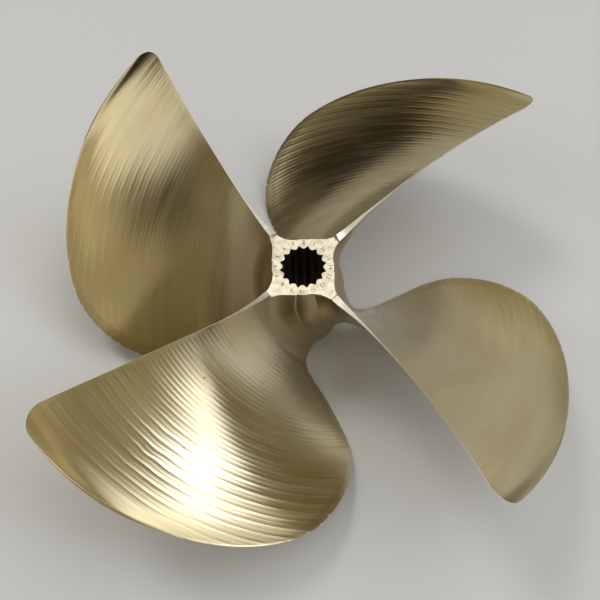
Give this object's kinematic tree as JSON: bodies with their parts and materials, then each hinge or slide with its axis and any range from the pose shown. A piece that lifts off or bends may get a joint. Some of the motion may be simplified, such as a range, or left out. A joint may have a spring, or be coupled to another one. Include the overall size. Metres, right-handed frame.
{
  "type": "monobloc boat propeller",
  "caption": "Left-hand bronze boat propeller milled from one casting: wide raked blades on a short hub with a splined bore.",
  "frame": {"origin": "on the shaft axis, at the level of the lowest points of the leading edges, on which the propeller stands", "axes": "+Z along the shaft axis, pointing aft, so the aft face of the hub and the pressure faces look up; +X through the tip of one blade"},
  "size_m": [0.3556, 0.3556, 0.1149],
  "materials": {
    "milled_bronze": "bright milled nickel aluminium bronze, with fine tool marks along arcs round the shaft"
  },
  "bodies": {
    "root": {"propeller": "milled_bronze"}
  },
  "joints": []
}
